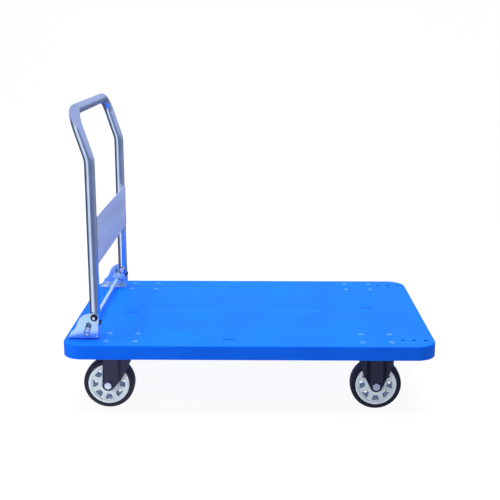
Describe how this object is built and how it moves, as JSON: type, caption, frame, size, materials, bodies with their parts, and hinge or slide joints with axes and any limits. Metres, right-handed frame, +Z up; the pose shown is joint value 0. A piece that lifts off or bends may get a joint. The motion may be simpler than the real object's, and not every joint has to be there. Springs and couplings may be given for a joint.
{
  "type": "folding platform cart",
  "caption": "Flat plastic platform cart on two swivel and two rigid casters, with a bent tube handle that folds down over the deck.",
  "frame": {"origin": "on the floor under the middle of the deck", "axes": "+X from the handle end to the free end, +Y to the left of a person pushing, +Z up"},
  "size_m": [0.9, 0.6, 0.7381],
  "materials": {
    "deck_plastic": "semi-gloss moulded blue plastic",
    "chrome_tube": "polished",
    "plate_steel": "satin",
    "zinc_sheet": "bright zinc",
    "zinc_fastener": "bright zinc",
    "dark_fastener": "black oxide",
    "bar_steel": "bright drawn",
    "spring_steel": "drawn wire",
    "black_steel": "black powder coat",
    "wheel_grey": "light grey moulded plastic",
    "tyre_black": "moulded rubber",
    "bearing_steel": "ground",
    "buffer_rubber": "black rubber",
    "bush_nylon": "natural nylon"
  },
  "bodies": {
    "deck_assembly": {"deck": "deck_plastic", "deck_plugs": "deck_plastic", "hinge_bracket_left": "zinc_sheet", "hinge_bracket_right": "zinc_sheet", "bracket_bolts": "zinc_fastener", "bracket_washers": "zinc_fastener", "bracket_nuts": "zinc_fastener", "fold_buffers": "buffer_rubber", "pivot_bolts": "zinc_fastener", "pivot_washers": "dark_fastener", "pivot_nuts": "dark_fastener", "spring_pegs": "zinc_fastener", "swivel_plates": "black_steel", "king_pins": "zinc_fastener", "caster_bolts": "zinc_fastener", "caster_washers": "zinc_fastener", "caster_nuts": "zinc_fastener", "front_forks": "black_steel", "front_axle_bolts": "zinc_fastener", "front_axle_nuts": "zinc_fastener", "front_axle_spacers": "zinc_fastener"},
    "handle": {"handle_tube": "chrome_tube", "cross_plate": "plate_steel", "lock_tongues": "bar_steel", "pivot_bushes": "bush_nylon"},
    "lock_bar": {"lock_bar": "bar_steel", "lock_bar_clips": "zinc_fastener", "lock_springs": "spring_steel"},
    "rear_left_swivel": {"rear_left_fork": "black_steel", "rear_left_swivel_balls": "bearing_steel", "rear_left_axle_bolt": "zinc_fastener", "rear_left_axle_nut": "zinc_fastener", "rear_left_axle_spacers": "zinc_fastener"},
    "rear_left_wheel": {"rear_left_wheel_core": "wheel_grey", "rear_left_tyre": "tyre_black", "rear_left_bearings": "bearing_steel"},
    "front_left_wheel": {"front_left_wheel_core": "wheel_grey", "front_left_tyre": "tyre_black", "front_left_bearings": "bearing_steel"},
    "rear_right_swivel": {"rear_right_fork": "black_steel", "rear_right_swivel_balls": "bearing_steel", "rear_right_axle_bolt": "zinc_fastener", "rear_right_axle_nut": "zinc_fastener", "rear_right_axle_spacers": "zinc_fastener"},
    "rear_right_wheel": {"rear_right_wheel_core": "wheel_grey", "rear_right_tyre": "tyre_black", "rear_right_bearings": "bearing_steel"},
    "front_right_wheel": {"front_right_wheel_core": "wheel_grey", "front_right_tyre": "tyre_black", "front_right_bearings": "bearing_steel"}
  },
  "joints": [
    {"name": "handle_fold", "type": "hinge", "parent": "deck_assembly", "child": "handle", "pos_m": [-0.3747, 0, 0.2302], "axis": [0, 1, 0], "range_deg": [0, 90]},
    {"name": "lock_bar_press", "type": "slide", "parent": "deck_assembly", "child": "lock_bar", "axis": [-0.2689, 0, -0.9632], "range_m": [0, 0.0075], "stiffness_N_per_m": 1500, "springref_m": -0.012, "deforming": ["lock_springs"]},
    {"name": "rear_left_swivel_turn", "type": "hinge", "parent": "deck_assembly", "child": "rear_left_swivel", "pos_m": [-0.31, 0.236, 0.143], "axis": [0, 0, 1], "continuous": true},
    {"name": "rear_left_wheel_roll", "type": "hinge", "parent": "rear_left_swivel", "child": "rear_left_wheel", "pos_m": [-0.344, 0.236, 0.0625], "axis": [0, 1, 0], "continuous": true},
    {"name": "front_left_wheel_roll", "type": "hinge", "parent": "deck_assembly", "child": "front_left_wheel", "pos_m": [0.31, 0.236, 0.0625], "axis": [0, 1, 0], "continuous": true},
    {"name": "rear_right_swivel_turn", "type": "hinge", "parent": "deck_assembly", "child": "rear_right_swivel", "pos_m": [-0.31, -0.236, 0.143], "axis": [0, 0, 1], "continuous": true},
    {"name": "rear_right_wheel_roll", "type": "hinge", "parent": "rear_right_swivel", "child": "rear_right_wheel", "pos_m": [-0.344, -0.236, 0.0625], "axis": [0, 1, 0], "continuous": true},
    {"name": "front_right_wheel_roll", "type": "hinge", "parent": "deck_assembly", "child": "front_right_wheel", "pos_m": [0.31, -0.236, 0.0625], "axis": [0, 1, 0], "continuous": true}
  ]
}
